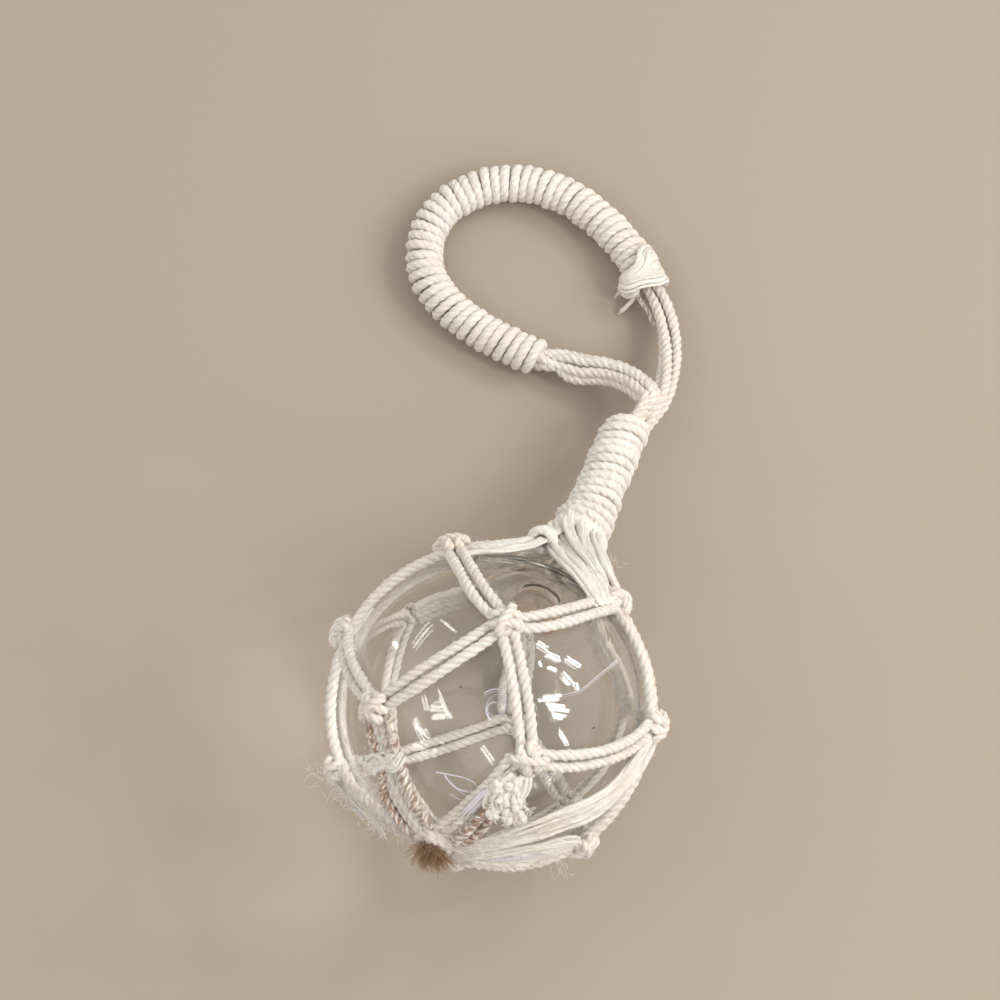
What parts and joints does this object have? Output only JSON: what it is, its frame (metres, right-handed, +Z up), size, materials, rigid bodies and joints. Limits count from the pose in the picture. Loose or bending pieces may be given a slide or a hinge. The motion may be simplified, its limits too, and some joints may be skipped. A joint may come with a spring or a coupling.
{
  "type": "glass float ball",
  "caption": "Hollow clear glass float ball in a knotted cotton cord net, with a cord-bound neck and a hanging loop; it lies on its side, pressed slightly flat where it rests.",
  "frame": {"origin": "On the surface that the float lies on, under the middle of the net, ball and neck taken together (the hanging loop left out).", "axes": "+Z up from the surface, +Y the way the neck points as seen from above, +X to the right of it."},
  "size_m": [0.1503, 0.2685, 0.1079],
  "materials": {
    "clear_glass": "smooth clear blown glass, slightly wavy, with a few seeds and a swirl at the seal",
    "cotton_cord": "undyed twisted three-strand cotton cord, matt, a little soiled in the gaps",
    "frayed_fibre": "frayed brown cord ends"
  },
  "bodies": {
    "root": {"glass_ball": "clear_glass", "upper_knot_1": "cotton_cord", "upper_knot_2": "cotton_cord", "upper_knot_3": "cotton_cord", "upper_knot_4": "cotton_cord", "upper_knot_5": "cotton_cord", "middle_knot_1": "cotton_cord", "middle_knot_2": "cotton_cord", "middle_knot_3": "cotton_cord", "middle_knot_4": "cotton_cord", "middle_knot_5": "cotton_cord", "lower_knot_1": "cotton_cord", "lower_knot_2": "cotton_cord", "lower_knot_3": "cotton_cord", "lower_knot_4": "cotton_cord", "lower_knot_5": "cotton_cord", "upper_cords_1_a": "cotton_cord", "upper_cords_1_b": "cotton_cord", "lower_cords_1_a": "cotton_cord", "lower_cords_1_b": "cotton_cord", "upper_cords_2_a": "cotton_cord", "upper_cords_2_b": "cotton_cord", "lower_cords_2_a": "cotton_cord", "lower_cords_2_b": "cotton_cord", "upper_cords_3_a": "cotton_cord", "upper_cords_3_b": "cotton_cord", "lower_cords_3_a": "cotton_cord", "lower_cords_3_b": "cotton_cord", "upper_cords_4_a": "cotton_cord", "upper_cords_4_b": "cotton_cord", "lower_cords_4_a": "cotton_cord", "lower_cords_4_b": "cotton_cord", "upper_cords_5_a": "cotton_cord", "upper_cords_5_b": "cotton_cord", "lower_cords_5_a": "cotton_cord", "lower_cords_5_b": "cotton_cord", "bottom_cords_1": "cotton_cord", "bottom_cords_2": "cotton_cord", "bottom_cords_3": "cotton_cord", "bottom_cords_4": "cotton_cord", "bottom_cords_5": "cotton_cord", "bottom_knot": "cotton_cord", "frayed_tuft": "frayed_fibre", "neck_binding": "cotton_cord", "neck_cords_1": "cotton_cord", "neck_cords_2": "cotton_cord", "neck_cords_3": "cotton_cord", "neck_cords_4": "cotton_cord", "neck_cords_5": "cotton_cord", "loop_binding": "cotton_cord", "loop_cords_left": "cotton_cord", "loop_cords_right": "cotton_cord", "loop_tie_knot": "cotton_cord"}
  },
  "joints": []
}
